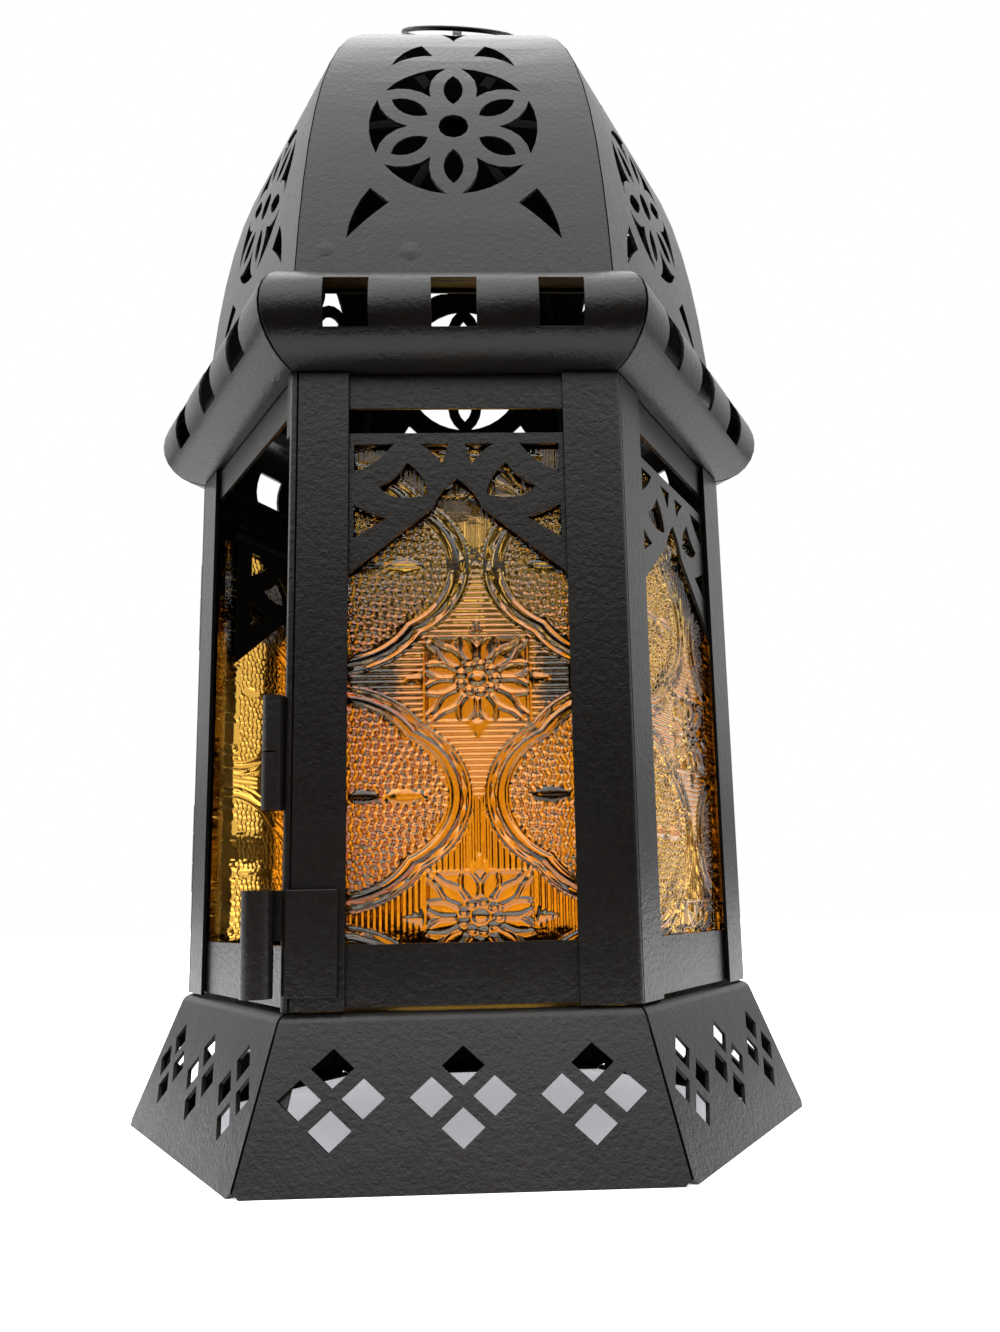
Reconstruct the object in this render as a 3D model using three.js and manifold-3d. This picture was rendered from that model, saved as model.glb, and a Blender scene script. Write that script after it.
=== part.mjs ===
// Six-sided sheet-metal candle lantern with pressed glass panes, a pierced dome and a carry ring.
// Millimetres, +Z up. The origin is the middle of the base on the surface it stands on.
// The front face looks along -Y. Faces are numbered anticlockwise from above, starting at the front.
import * as THREE from 'three';
import { mergeVertices } from 'three/addons/utils/BufferGeometryUtils.js';
import Module from 'manifold-3d';

const wasm = await Module();
wasm.setup();

// Sheet, glass and running clearances
const SHEET = 0.8;
const GLASS = 2.0;
const GAP = 0.3;
const SEAM = 0.5;

// Six-sided plan: the length of one side of the body
const SIDES = 6;
const BODY_SIDE = 65;

// Base skirt
const BASE_HEIGHT = 28.6;
const BASE_MARGIN = 0.6;
const BASE_FLARE = 11.7;
const BASE_BEND = 2.4;
const BASE_FLANGE = 8;
const BASE_HEM = 4;
const BASE_CLIP = 1.6;
const TAB_WIDTH = 6;
const DIAMOND_WIDTH = 7.6;
const DIAMOND_HEIGHT = 6.5;
const DIAMOND_PITCH_X = 5.5;
const DIAMOND_PITCH_Z = 4.9;
const CLUSTER_SPREAD = 0.35;
const CLUSTER_HEIGHT = 14.6;

// Candle floor
const FLOOR_LAP = 4.2;
const CANDLE_BORE = 20.5;
const CANDLE_RING_HEIGHT = 3;

// Body frame
const BODY_HEIGHT = 123.6;
const LEAF = 11.2;
const POST_BEND = 1.3;
const POST_GROOVE = 0.4;
const BOTTOM_RAIL_LIFT = 0.5;
const BOTTOM_RAIL_HEIGHT = 11.1;
const TOP_RAIL_HEIGHT = 7.1;
const VENT_SLOT = 5.3;
const GLASS_INSET = 4;
const CHANNEL_LIP = 4;
const HOOK_WIDTH = 5;
const HOOK_SPREAD = 0.56;

// Pierced ogee panel under the vent slot: drops from its top edge, and widths from its middle on
// a panel whose half width is FRET_PATTERN
const FRET_INSET = 7.5;
const FRET_PATTERN = 25;
const FRET_BORDER = 2.3;
const FRET_PEAK = 9.6;
const FRET_SHOULDER_X = 4.8;
const FRET_SHOULDER = 15.7;
const FRET_FOOT_X = 21.3;
const FRET_FOOT = 29;

// Cornice roll
const ROLL_RADIUS = 10.4;
const ROLL_INSET = 1.3;
const ROLL_LIP = 2;
const VENT_WIDTH = 8.8;
const VENT_HEIGHT = 10.4;
const VENT_SPREAD = 0.323;

// Dome: heights of its profile curve above the cornice, and its two middle points as shares of its foot
const DOME_HEIGHT = 83.5;
const DOME_LOWER = [0.93, 60.1];
const DOME_UPPER = [0.765, 82.9];
const DOME_STEPS = 14;

// Rosette in the dome, measured from its middle
const ROSETTE_HEIGHT = 37.6;
const ROSETTE_RADIUS = 18;
const ROSETTE_EYE = 3.2;
const PETAL_INNER = 6.3;
const PETAL_OUTER = 15.3;
const PETAL_BULGE = 2.1;
const PETAL_BORDER = 3.1;

// Finial, eye and carry ring
const COLLAR_RADIUS = 14.2;
const COLLAR_LAP = 2.2;
const NECK_RADIUS = 5.6;
const CAP_RADIUS = 9.6;
const FINIAL_HEIGHT = 20.7;
const EYE_BORE = 1.5;
const EYE_WALL = 1.1;
const EYE_WIDTH = 2.4;
const RING_RADIUS = 14.5;
const RING_WIRE = 0.6;
const RING_DROOP = 38;
const RING_TURN = -4;

// Door, drawn closed on its own face and then folded back on its hinge
const DOOR_BOTTOM_LAP = 3.5;
const DOOR_TOP_LAP = 3.2;
const DOOR_STILE = 15;
const DOOR_RAIL = 8.5;
const DOOR_LEAF_LAP = 2;
const DOOR_FREE_GAP = 1.8;
const DOOR_FOLD = 240;
const DOOR_GLASS_INSET = 1.4;

// Hinge: its axis lies behind the corner, outside the left back face
const HINGE_BACK = 6;
const HINGE_OUT = 4.56;
const KNUCKLE_RADIUS = 1.1;
const PIN_RADIUS = 0.5;
const PIN_CLEAR = 0.1;
const KNUCKLE_LENGTH = 6.8;
const HINGE_INSET_LOW = 33.6;
const HINGE_INSET_HIGH = 30;
const HINGE_LEAF = 4.9;
const HINGE_LEAF_START = 2.2;

// Rolled keeper and rolled catch beside the doorway
const KEEPER_RADIUS = 2;
const KEEPER_LIFT = 36.4;
const KEEPER_LENGTH = 21.6;
const KEEPER_OUT = 2.5;
const KEEPER_WALL = 0.6;
const CATCH_RADIUS = 3;
const CATCH_LIFT = 2.5;
const CATCH_LENGTH = 19.2;
const CATCH_OUT = 4.6;
const CATCH_PLATE = 9.4;

const STEP = 360 / SIDES;
const HALF_STEP = Math.PI / SIDES;
const COS30 = Math.cos(HALF_STEP);
const BODY_APOTHEM = BODY_SIDE * COS30;
const CORNER_X = BODY_SIDE / 2;
const BASE_TOP_SIDE = BODY_SIDE + BASE_MARGIN;
const BASE_BOTTOM_SIDE = BASE_TOP_SIDE + BASE_FLARE;
const FLOOR_APOTHEM = BASE_TOP_SIDE * COS30 - BASE_FLANGE + FLOOR_LAP;
const GLASS_HALF_WIDTH = CORNER_X - GLASS_INSET;
const FRET_HALF_WIDTH = CORNER_X - FRET_INSET;
const ROLL_APOTHEM = BODY_APOTHEM - ROLL_INSET;
const DOME_FOOT = BODY_APOTHEM;
const DOOR_GLASS_HALF_WIDTH = CORNER_X - LEAF - DOOR_GLASS_INSET;
const BODY_BOTTOM = BASE_HEIGHT + GAP;
const BODY_TOP = BODY_BOTTOM + BODY_HEIGHT;
const RAIL_FACE = BODY_APOTHEM - SHEET - GAP;
const RAIL_BACK = RAIL_FACE - SHEET;
const GLASS_FACE = RAIL_BACK - GAP;
const GLASS_BACK = GLASS_FACE - GLASS;
const BOTTOM_RAIL_BASE = BODY_BOTTOM + BOTTOM_RAIL_LIFT;
const BOTTOM_RAIL_TOP = BOTTOM_RAIL_BASE + BOTTOM_RAIL_HEIGHT;
const TOP_RAIL_BASE = BODY_TOP - TOP_RAIL_HEIGHT;
const FRET_TOP = TOP_RAIL_BASE - VENT_SLOT;
const CORNICE_BOTTOM = BODY_TOP + GAP;
const ROLL_HEIGHT = CORNICE_BOTTOM + ROLL_RADIUS;
const CORNICE_TOP = ROLL_HEIGHT + ROLL_RADIUS;
const DOME_BOTTOM = CORNICE_TOP + GAP;
const DOME_CROWN = DOME_BOTTOM + DOME_HEIGHT;
const HINGE_HEIGHTS = [BODY_BOTTOM + HINGE_INSET_LOW, BODY_TOP - HINGE_INSET_HIGH];
const KEEPER_BOTTOM = BODY_BOTTOM + KEEPER_LIFT;
const CATCH_BOTTOM = BODY_BOTTOM + CATCH_LIFT;

const FACE_NAMES = ['front', 'right_front', 'right_back', 'back', 'left_back', 'left_front'];
const CORNER_NAMES = ['front_right', 'right', 'back_right', 'back_left', 'left', 'front_left'];
const DOOR_FACE = 5;

const steel = { color: 0x1d1c1b, roughness: 0.55, metalness: 0.6 };
const amber = { color: 0xc88a2a, roughness: 0.15, metalness: 0 };
const wire = { color: 0x24211f, roughness: 0.45, metalness: 0.8 };

const group = new THREE.Group();

// A closed geometry as a solid, and back
function solid(geometry) {
  const bare = geometry.index ? geometry.toNonIndexed() : geometry.clone();
  bare.deleteAttribute('normal');
  bare.deleteAttribute('uv');
  const merged = mergeVertices(bare, 1e-4);
  const vertProperties = new Float32Array(merged.attributes.position.array);
  const triVerts = new Uint32Array(merged.index.array);
  return new wasm.Manifold(new wasm.Mesh({ numProp: 3, vertProperties, triVerts }));
}

function toGeometry(body) {
  const data = body.getMesh();
  const geometry = new THREE.BufferGeometry();
  geometry.setAttribute('position', new THREE.BufferAttribute(new Float32Array(data.vertProperties), 3));
  geometry.setIndex(new THREE.BufferAttribute(new Uint32Array(data.triVerts), 1));
  geometry.computeVertexNormals();
  return geometry;
}

function joined(bodies) {
  return bodies.reduce((all, body) => all.add(body));
}

// Places a solid as a named mesh, turned about the lantern's axis to its face or corner
function place(name, body, finish, face = 0, holder = group) {
  const mesh = new THREE.Mesh(toGeometry(body), new THREE.MeshStandardMaterial(finish));
  mesh.name = name;
  mesh.rotation.z = THREE.MathUtils.degToRad(face * STEP);
  holder.add(mesh);
  return mesh;
}

function outline(points) {
  return new THREE.Shape(points.map(([a, b]) => new THREE.Vector2(a, b)));
}

// Outline in plan, raised from one height to another
function standing(shape, bottom, top) {
  const depth = top - bottom;
  const geometry = new THREE.ExtrudeGeometry(shape, { depth, bevelEnabled: false, curveSegments: 8 });
  geometry.translate(0, 0, bottom);
  return solid(geometry);
}

// Outline in a face, seen from outside, from its outer to its inner distance from the axis
function facing(shape, outer, inner, curveSegments = 5) {
  const depth = outer - inner;
  const geometry = new THREE.ExtrudeGeometry(shape, { depth, bevelEnabled: false, curveSegments });
  geometry.rotateX(Math.PI / 2);
  geometry.translate(0, -inner, 0);
  return solid(geometry);
}

// Section across a face, as distance from the axis and height, run along the face
function running(points, halfLength) {
  const shape = outline(points.map(([apothem, height]) => [-apothem, height]));
  const geometry = new THREE.ExtrudeGeometry(shape, { depth: 2 * halfLength, bevelEnabled: false });
  const axes = new THREE.Matrix4().makeBasis(
    new THREE.Vector3(0, 1, 0),
    new THREE.Vector3(0, 0, 1),
    new THREE.Vector3(1, 0, 0),
  );
  geometry.applyMatrix4(axes);
  geometry.translate(-halfLength, 0, 0);
  return solid(geometry);
}

function box(x0, x1, y0, y1, z0, z1) {
  const geometry = new THREE.BoxGeometry(x1 - x0, y1 - y0, z1 - z0);
  geometry.translate((x0 + x1) / 2, (y0 + y1) / 2, (z0 + z1) / 2);
  return solid(geometry);
}

// The sixth of the plan that belongs to one face, short of its mitres by half a seam
function sixth(seam) {
  const reach = 2 * BASE_BOTTOM_SIDE;
  const half = (reach - seam) * Math.tan(HALF_STEP);
  return standing(outline([[0, -seam], [-half, -reach], [half, -reach]]), -1, 2 * DOME_CROWN);
}

// Points of an arc about a centre, from one angle to another in degrees
function arc(cx, cy, radius, from, to, steps) {
  const points = [];
  for (let i = 0; i <= steps; i += 1) {
    const angle = THREE.MathUtils.degToRad(from + (to - from) * i / steps);
    points.push([cx + radius * Math.cos(angle), cy + radius * Math.sin(angle)]);
  }
  return points;
}

// Base skirt: sloping panel, rolled top bend, flange for the posts and a narrow hem to stand on
const BASE_RISE = (BASE_BOTTOM_SIDE - BASE_TOP_SIDE) * COS30;
const BASE_LEAN = Math.atan2(BASE_RISE, BASE_HEIGHT);

function basePanel() {
  const bottom = BASE_BOTTOM_SIDE * COS30;
  const top = BASE_TOP_SIDE * COS30;
  const reach = BASE_BEND * Math.tan((Math.PI / 2 - BASE_LEAN) / 2);
  const lean = THREE.MathUtils.radToDeg(BASE_LEAN);
  const centre = [top - reach, BASE_HEIGHT - BASE_BEND];
  const slope = Math.tan(BASE_LEAN);
  const level = SHEET / Math.cos(BASE_LEAN);
  const points = [
    [bottom, 0],
    ...arc(centre[0], centre[1], BASE_BEND, lean, 90, 5),
    [top - BASE_FLANGE, BASE_HEIGHT],
    [top - BASE_FLANGE, BASE_HEIGHT - SHEET],
    ...arc(centre[0], centre[1], BASE_BEND - SHEET, 90, lean, 4),
    [bottom - level - slope * SHEET, SHEET],
    [bottom - BASE_HEM - level, SHEET],
    [bottom - BASE_HEM - level, 0],
  ];
  return running(points, BASE_BOTTOM_SIDE / 2);
}

// A diamond hole square to the sloping panel, placed by its middle
function diamond(x, z) {
  const w = DIAMOND_WIDTH / 2;
  const h = DIAMOND_HEIGHT / 2;
  return facing(outline([[x - w, z], [x, z - h], [x + w, z], [x, z + h]]), BODY_SIDE * 1.2, BODY_SIDE * 0.7);
}

function diamonds() {
  const cutters = [];
  const pitch = CLUSTER_SPREAD * BODY_SIDE;
  for (const x of [-pitch, 0, pitch]) {
    cutters.push(diamond(x - DIAMOND_PITCH_X, CLUSTER_HEIGHT), diamond(x + DIAMOND_PITCH_X, CLUSTER_HEIGHT));
    cutters.push(diamond(x, CLUSTER_HEIGHT - DIAMOND_PITCH_Z), diamond(x, CLUSTER_HEIGHT + DIAMOND_PITCH_Z));
  }
  return joined(cutters);
}

// Joining tab: a strip folded behind the next panel along the seam
function baseTab() {
  const bottom = BASE_BOTTOM_SIDE * COS30;
  const low = SHEET + GAP;
  const high = BASE_HEIGHT - 4;
  const at = (depth, z) => [bottom - depth / Math.cos(BASE_LEAN) - Math.tan(BASE_LEAN) * z, z];
  const section = [at(low, low), at(low, high), at(low + SHEET, high), at(low + SHEET, low)];
  const strip = running(section, BASE_BOTTOM_SIDE);
  const mid = BASE_BOTTOM_SIDE / 2;
  const rise = BASE_RISE * Math.tan(HALF_STEP) * high / BASE_HEIGHT;
  const near = TAB_WIDTH - mid;
  const band = facing(
    outline([[-mid - 3, 0], [near, 0], [near + rise, BASE_HEIGHT], [-mid - 3 + rise, BASE_HEIGHT]]),
    BODY_SIDE * 1.2, BODY_SIDE * 0.7,
  );
  return strip.intersect(band).rotate([0, 0, STEP]);
}

// Everything inside the skirt's outer slopes, to trim the tabs
function skirtCore() {
  const geometry = new THREE.CylinderGeometry(
    BASE_TOP_SIDE - GAP, BASE_BOTTOM_SIDE - GAP, BASE_HEIGHT, SIDES, 1, false, HALF_STEP,
  );
  geometry.rotateX(Math.PI / 2);
  geometry.translate(0, 0, BASE_HEIGHT / 2);
  return solid(geometry);
}

function clips() {
  const corner = BASE_BOTTOM_SIDE / 2;
  const far = corner + 1;
  const near = corner - BASE_CLIP - 1;
  const cut = (side) => facing(
    outline([[side * far, -1], [side * near, -1], [side * far, BASE_CLIP + 1]]),
    BODY_SIDE * 1.2, BODY_SIDE * 0.9,
  );
  return cut(-1).add(cut(1));
}

const panel = basePanel().intersect(sixth(SEAM)).subtract(diamonds()).subtract(clips());
const tab = baseTab().intersect(skirtCore());
FACE_NAMES.forEach((name, face) => place(`base_panel_${name}`, panel.add(tab), steel, face));

// Candle floor under the flanges, with a raised ring that keeps the candle central
function hexagon(apothem) {
  const side = apothem / COS30;
  return outline([0, 1, 2, 3, 4, 5].map((i) => [
    side * Math.cos(2 * i * HALF_STEP), side * Math.sin(2 * i * HALF_STEP)]));
}

const FLOOR_TOP = BASE_HEIGHT - SHEET - GAP;
const candleRing = new THREE.Shape();
candleRing.absarc(0, 0, CANDLE_BORE + SHEET, 0, 2 * Math.PI);
candleRing.holes.push(new THREE.Path().absarc(0, 0, CANDLE_BORE, 0, 2 * Math.PI));
place('candle_floor', standing(hexagon(FLOOR_APOTHEM), FLOOR_TOP - SHEET, FLOOR_TOP)
  .add(standing(candleRing, FLOOR_TOP - SHEET / 2, FLOOR_TOP + CANDLE_RING_HEIGHT)), steel);

// Corner posts, drawn at the corner between the front and the right front faces
function postPlan(leftLeaf, rightLeaf) {
  const corner = new THREE.Vector2(CORNER_X, -BODY_APOTHEM);
  const along = new THREE.Vector2(Math.cos(2 * HALF_STEP), Math.sin(2 * HALF_STEP));
  const inward = new THREE.Vector2(-along.y, along.x);
  const at = (run, depth) => [
    corner.x + along.x * run + inward.x * depth,
    corner.y + along.y * run + inward.y * depth,
  ];
  const bendEnd = POST_BEND * Math.tan(HALF_STEP);
  const centre = [corner.x - bendEnd, corner.y + POST_BEND];
  return outline([
    [corner.x - leftLeaf, corner.y],
    ...arc(centre[0], centre[1], POST_BEND, -90, -90 + STEP, 4),
    at(bendEnd + 0.2, 0),
    at(bendEnd + 0.2 + POST_GROOVE / 2, POST_GROOVE),
    at(bendEnd + 0.2 + POST_GROOVE, 0),
    at(rightLeaf, 0),
    at(rightLeaf, SHEET),
    ...arc(centre[0], centre[1], POST_BEND - SHEET, -90 + STEP, -90, 3),
    [corner.x - leftLeaf, corner.y + SHEET],
  ]);
}

const post = standing(postPlan(LEAF, LEAF), BODY_BOTTOM, BODY_TOP);

// The post at the doorway's free side: its leaf beside the doorway is cut back to a narrow strip
const STRIP = 2.6;
const CUT_FACE = CORNER_X - SHEET * 0.2;
const doorPost = standing(postPlan(STRIP, LEAF), BODY_BOTTOM, BODY_TOP).subtract(box(
  CORNER_X - 2 * STRIP, CUT_FACE - 0.6, -BODY_APOTHEM - 1, -BODY_APOTHEM + 1.2, 0, FRET_TOP - 0.6));

CORNER_NAMES.forEach((name, corner) => {
  place(`post_${name}`, corner === DOOR_FACE ? doorPost : post, steel, corner);
});

// Rails behind the posts, mitred at the corners: the lower one is a channel that holds the glass
const railTrim = sixth(2 * SEAM);
const channelInner = GLASS_BACK - GAP;
const bottomRail = running([
  [RAIL_FACE, BOTTOM_RAIL_BASE],
  [RAIL_FACE, BOTTOM_RAIL_TOP],
  [RAIL_BACK, BOTTOM_RAIL_TOP],
  [RAIL_BACK, BOTTOM_RAIL_BASE + SHEET],
  [channelInner, BOTTOM_RAIL_BASE + SHEET],
  [channelInner, BOTTOM_RAIL_BASE + SHEET + CHANNEL_LIP],
  [channelInner - SHEET, BOTTOM_RAIL_BASE + SHEET + CHANNEL_LIP],
  [channelInner - SHEET, BOTTOM_RAIL_BASE],
], BODY_SIDE).intersect(railTrim);
const topRail = running([
  [RAIL_FACE, TOP_RAIL_BASE],
  [RAIL_FACE, BODY_TOP],
  [RAIL_FACE - CHANNEL_LIP, BODY_TOP],
  [RAIL_FACE - CHANNEL_LIP, BODY_TOP - SHEET],
  [RAIL_BACK, BODY_TOP - SHEET],
  [RAIL_BACK, TOP_RAIL_BASE],
], BODY_SIDE).intersect(railTrim);
FACE_NAMES.forEach((name, face) => {
  place(`bottom_rail_${name}`, bottomRail, steel, face);
  place(`top_rail_${name}`, topRail, steel, face);
});

// Pierced panel: its lower edge is an ogee arch, and its holes are mirrored about the middle
function fretHoles(top) {
  const holes = [];
  const scale = FRET_HALF_WIDTH / FRET_PATTERN;
  for (const side of [-scale, scale]) {
    const to = (path, x, drop) => path.lineTo(side * x, top - drop);
    const bend = (path, cx, cd, x, drop) => path.quadraticCurveTo(side * cx, top - cd, side * x, top - drop);
    const start = (x, drop) => new THREE.Shape().moveTo(side * x, top - drop);

    const corner = start(20.3, FRET_BORDER);
    to(corner, 12.5, FRET_BORDER);
    bend(corner, 15.2, 6.2, 20.3, 8.3);
    to(corner, 20.3, FRET_BORDER);

    const small = start(1.6, FRET_BORDER);
    to(small, 2.9, 6.5);
    bend(small, 4.4, 4.1, 7.3, FRET_BORDER);
    to(small, 1.6, FRET_BORDER);

    const fin = start(9.8, 6.2);
    bend(fin, 11.6, 9.6, 15.5, 11.2);
    bend(fin, 13.8, 13.6, 10.3, 13.5);
    bend(fin, 7.8, 13.5, 5.7, 12.8);
    bend(fin, 6.4, 8.6, 9.8, 6.2);

    const edge = start(20.4, 15);
    bend(edge, 17, 16.8, 13.7, 17.8);
    bend(edge, 17, 19.6, 20.4, 21.9);
    to(edge, 20.4, 15);
    holes.push(corner, small, fin, edge);
  }
  return holes;
}

function fretShape(top, halfWidth) {
  const scale = FRET_HALF_WIDTH / FRET_PATTERN;
  const shoulder = FRET_SHOULDER_X * scale;
  const slope = (FRET_FOOT - FRET_SHOULDER) / (FRET_FOOT_X * scale - shoulder);
  const foot = FRET_SHOULDER + slope * (halfWidth - shoulder);
  const shape = new THREE.Shape();
  shape.moveTo(-halfWidth, top);
  shape.lineTo(-halfWidth, top - foot);
  shape.lineTo(-shoulder, top - FRET_SHOULDER);
  shape.quadraticCurveTo(-shoulder * 0.75, top - FRET_SHOULDER * 0.77, 0, top - FRET_PEAK);
  shape.quadraticCurveTo(shoulder * 0.75, top - FRET_SHOULDER * 0.77, shoulder, top - FRET_SHOULDER);
  shape.lineTo(halfWidth, top - foot);
  shape.lineTo(halfWidth, top);
  return shape;
}

function fretPlate(top, halfWidth, face, holes, segments = 4) {
  const cutters = holes.map((hole) => facing(hole, face + SHEET, face - 2 * SHEET, segments));
  return facing(fretShape(top, halfWidth), face, face - SHEET, segments).subtract(joined(cutters));
}

// Two hooks bent over the top edge of the glass join the pierced plates on its two sides
function hook(x) {
  const w = HOOK_WIDTH / 2;
  return box(x - w, x + w, -RAIL_BACK - SHEET / 2, -channelInner + SHEET, FRET_TOP - SHEET, FRET_TOP)
    .add(box(x - w, x + w, -channelInner, -channelInner + SHEET, FRET_TOP - CHANNEL_LIP, FRET_TOP));
}

const fretwork = joined([
  fretPlate(FRET_TOP, FRET_HALF_WIDTH, RAIL_FACE, fretHoles(FRET_TOP)),
  fretPlate(FRET_TOP, FRET_HALF_WIDTH, channelInner, fretHoles(FRET_TOP), 3),
  hook(-HOOK_SPREAD * FRET_HALF_WIDTH),
  hook(HOOK_SPREAD * FRET_HALF_WIDTH)]);
const pane = box(-GLASS_HALF_WIDTH, GLASS_HALF_WIDTH, -GLASS_FACE, -GLASS_BACK,
  BOTTOM_RAIL_BASE + SHEET + GAP, FRET_TOP - SHEET - GAP);
FACE_NAMES.forEach((name, face) => {
  if (face === DOOR_FACE) return;
  place(`fretwork_${name}`, fretwork, steel, face);
  place(`glass_${name}`, pane, amber, face);
});

// Cornice: a half-round roll over each face, with three square vents and a lip at each edge
const cornice = running([
  [ROLL_APOTHEM - ROLL_LIP, CORNICE_BOTTOM],
  ...arc(ROLL_APOTHEM, ROLL_HEIGHT, ROLL_RADIUS, -90, 90, 14),
  [ROLL_APOTHEM - ROLL_LIP, CORNICE_TOP],
  [ROLL_APOTHEM - ROLL_LIP, CORNICE_TOP - SHEET],
  ...arc(ROLL_APOTHEM, ROLL_HEIGHT, ROLL_RADIUS - SHEET, 90, -90, 14),
  [ROLL_APOTHEM - ROLL_LIP, CORNICE_BOTTOM + SHEET],
], BODY_SIDE).intersect(sixth(SEAM));
const vents = joined([-VENT_SPREAD, 0, VENT_SPREAD].map((share) => share * BODY_SIDE).map((x) => box(
  x - VENT_WIDTH / 2, x + VENT_WIDTH / 2, -2 * ROLL_APOTHEM, -ROLL_APOTHEM,
  ROLL_HEIGHT - VENT_HEIGHT / 2, ROLL_HEIGHT + VENT_HEIGHT / 2)));
FACE_NAMES.forEach((name, face) => place(`cornice_${name}`, cornice.subtract(vents), steel, face));

// Dome: six gores, each bent along one profile curve
const domeCurve = new THREE.CubicBezierCurve(
  new THREE.Vector2(DOME_FOOT, DOME_BOTTOM),
  new THREE.Vector2(DOME_LOWER[0] * DOME_FOOT, DOME_BOTTOM + DOME_LOWER[1]),
  new THREE.Vector2(DOME_UPPER[0] * DOME_FOOT, DOME_BOTTOM + DOME_UPPER[1]),
  new THREE.Vector2(COLLAR_RADIUS - COLLAR_LAP, DOME_CROWN),
);

function goreShell() {
  const outer = [];
  const inner = [];
  for (let i = 0; i <= DOME_STEPS; i += 1) {
    const t = i / DOME_STEPS;
    const p = domeCurve.getPoint(t);
    const d = domeCurve.getTangent(t);
    outer.push([p.x, p.y]);
    inner.push([p.x - d.y * SHEET, p.y + d.x * SHEET]);
  }
  inner[0][1] = DOME_BOTTOM;
  return running([...outer, ...inner.reverse()], BODY_SIDE);
}

// One of the six holes round the rosette: inside its rim and outside the borders of two petals
function rimHole(angle) {
  const half = (PETAL_OUTER - PETAL_INNER) / 2;
  const petalArc = (half * half + PETAL_BULGE * PETAL_BULGE) / (2 * PETAL_BULGE);
  const border = petalArc + PETAL_BORDER;
  const mid = (PETAL_INNER + PETAL_OUTER) / 2;
  const centre = new THREE.Vector2(mid, petalArc - PETAL_BULGE).rotateAround(new THREE.Vector2(), HALF_STEP);
  const tip = centre.x + Math.sqrt(border * border - centre.y * centre.y);
  const reach = centre.length();
  const spread = Math.acos((ROSETTE_RADIUS ** 2 + reach ** 2 - border ** 2) / (2 * ROSETTE_RADIUS * reach));
  const rim = centre.angle() - spread;
  const rimPoint = new THREE.Vector2(ROSETTE_RADIUS * Math.cos(rim), ROSETTE_RADIUS * Math.sin(rim));
  const from = Math.atan2(-centre.y, tip - centre.x);
  const to = Math.atan2(rimPoint.y - centre.y, rimPoint.x - centre.x);
  const degrees = THREE.MathUtils.radToDeg;
  const side = arc(centre.x, centre.y, border, degrees(from), degrees(to), 4);
  const edge = arc(0, 0, ROSETTE_RADIUS, degrees(rim), -degrees(rim), 5);
  const mirror = side.slice(1, -1).reverse().map(([x, y]) => [x, -y]);
  return turned([...side, ...edge.slice(1), ...mirror], angle);
}

function turned(points, angle) {
  const c = Math.cos(angle);
  const s = Math.sin(angle);
  return points.map(([x, y]) => [c * x - s * y, s * x + c * y]);
}

function petal(angle) {
  const half = (PETAL_OUTER - PETAL_INNER) / 2;
  const mid = (PETAL_INNER + PETAL_OUTER) / 2;
  const radius = (half * half + PETAL_BULGE * PETAL_BULGE) / (2 * PETAL_BULGE);
  const open = THREE.MathUtils.radToDeg(Math.asin(half / radius));
  const near = arc(mid, PETAL_BULGE - radius, radius, 90 + open, 90 - open, 6);
  const far = near.slice(1, -1).reverse().map(([x, y]) => [x, -y]);
  return turned([...near, ...far], angle);
}

// Horn-shaped holes above and below the rosette, and the small notch over it
const LOWER_HORN = [[17.4, -16.5], [21.4, -21.8], [22.2, -28.9], [17.9, -23.7], [13.5, -20.1]];
const UPPER_HORN = [[4.6, 22.8], [9.05, 23.25], [13.5, 19.1], [11.8, 24.65], [7.15, 27.2]];
const NOTCH = [[0, 30], [2.8, 36], [0, 39.5], [-2.8, 36]];

function rosette() {
  const lift = (points) => points.map(([x, y]) => [x, y + DOME_BOTTOM + ROSETTE_HEIGHT]);
  const shapes = [outline(lift(arc(0, 0, ROSETTE_EYE, 0, 330, 11))), outline(lift(NOTCH))];
  for (let i = 0; i < 6; i += 1) {
    shapes.push(outline(lift(petal((2 * i + 1) * HALF_STEP))));
    shapes.push(outline(lift(rimHole(2 * i * HALF_STEP))));
  }
  for (const horn of [LOWER_HORN, UPPER_HORN]) {
    for (const side of [-1, 1]) {
      const points = lift(horn.map(([x, y]) => [side * x, y]));
      const curve = new THREE.Shape();
      curve.moveTo(...points[0]);
      curve.quadraticCurveTo(...points[1], ...points[2]);
      curve.quadraticCurveTo(...points[3], ...points[4]);
      shapes.push(curve);
    }
  }
  return joined(shapes.map((shape) => facing(shape, 2 * DOME_FOOT, DOME_FOOT * 0.5, 4)));
}

const gore = goreShell().intersect(sixth(GAP)).subtract(rosette());
FACE_NAMES.forEach((name, face) => place(`dome_gore_${name}`, gore, steel, face));

// Finial: a spun shell with a collar over the gores, a neck and a domed cap, open below
const FINIAL_BASE = DOME_CROWN + GAP;
const FINIAL_TOP = FINIAL_BASE + FINIAL_HEIGHT;
const finialOuter = [
  [0, FINIAL_TOP],
  [CAP_RADIUS * 0.4, FINIAL_TOP - 0.5],
  [CAP_RADIUS * 0.75, FINIAL_TOP - 2],
  [CAP_RADIUS, FINIAL_TOP - 4.4],
  [CAP_RADIUS, FINIAL_TOP - 5.4],
  [NECK_RADIUS + 1.2, FINIAL_TOP - 8.2],
  [NECK_RADIUS, FINIAL_TOP - 10.5],
  [NECK_RADIUS, FINIAL_BASE + 4],
  [NECK_RADIUS + 1.6, FINIAL_BASE + 1.6],
  [COLLAR_RADIUS, FINIAL_BASE + SHEET],
  [COLLAR_RADIUS, FINIAL_BASE],
];
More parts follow.
